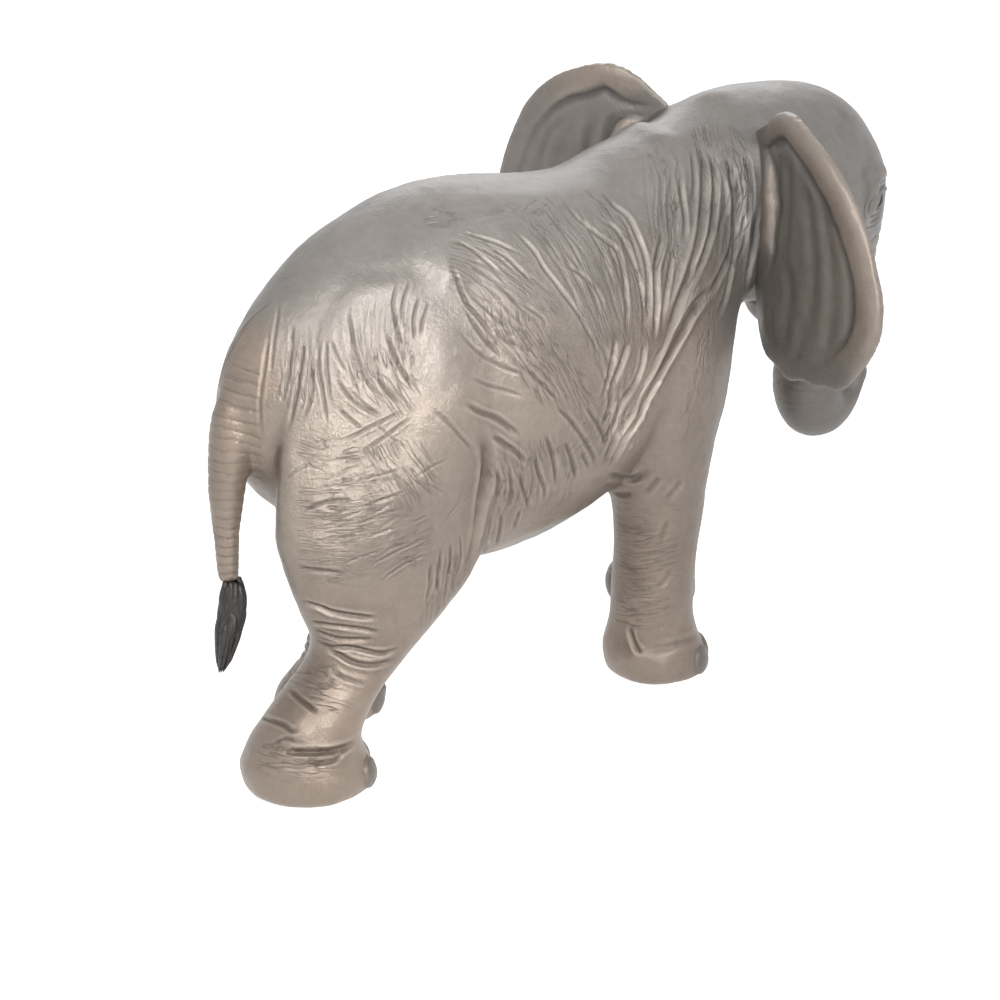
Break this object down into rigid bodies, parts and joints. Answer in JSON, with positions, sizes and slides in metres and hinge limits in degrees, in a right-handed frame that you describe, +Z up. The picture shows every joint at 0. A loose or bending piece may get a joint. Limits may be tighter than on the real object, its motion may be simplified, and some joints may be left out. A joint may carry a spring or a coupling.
{
  "type": "toy elephant figure",
  "caption": "Moulded toy figure of a young walking elephant with spread ears, a curled trunk and a tufted tail, standing on its flat soles.",
  "frame": {"origin": "on the standing plane, under the middle of the figure's bounding box", "axes": "+X towards the head, +Y to the figure's left, +Z up"},
  "size_m": [0.1588, 0.1026, 0.1053],
  "materials": {
    "skin": "painted PVC, satin, grey-brown",
    "tuft": "painted PVC, satin, black",
    "eye": "gloss, near black"
  },
  "bodies": {
    "root": {"body": "skin", "head": "skin", "trunk": "skin", "lower_jaw": "skin", "right_ear": "skin", "left_ear": "skin", "right_eye": "eye", "left_eye": "eye", "right_front_leg": "skin", "left_front_leg": "skin", "right_hind_leg": "skin", "left_hind_leg": "skin", "tail": "skin", "tail_tuft": "tuft"}
  },
  "joints": []
}
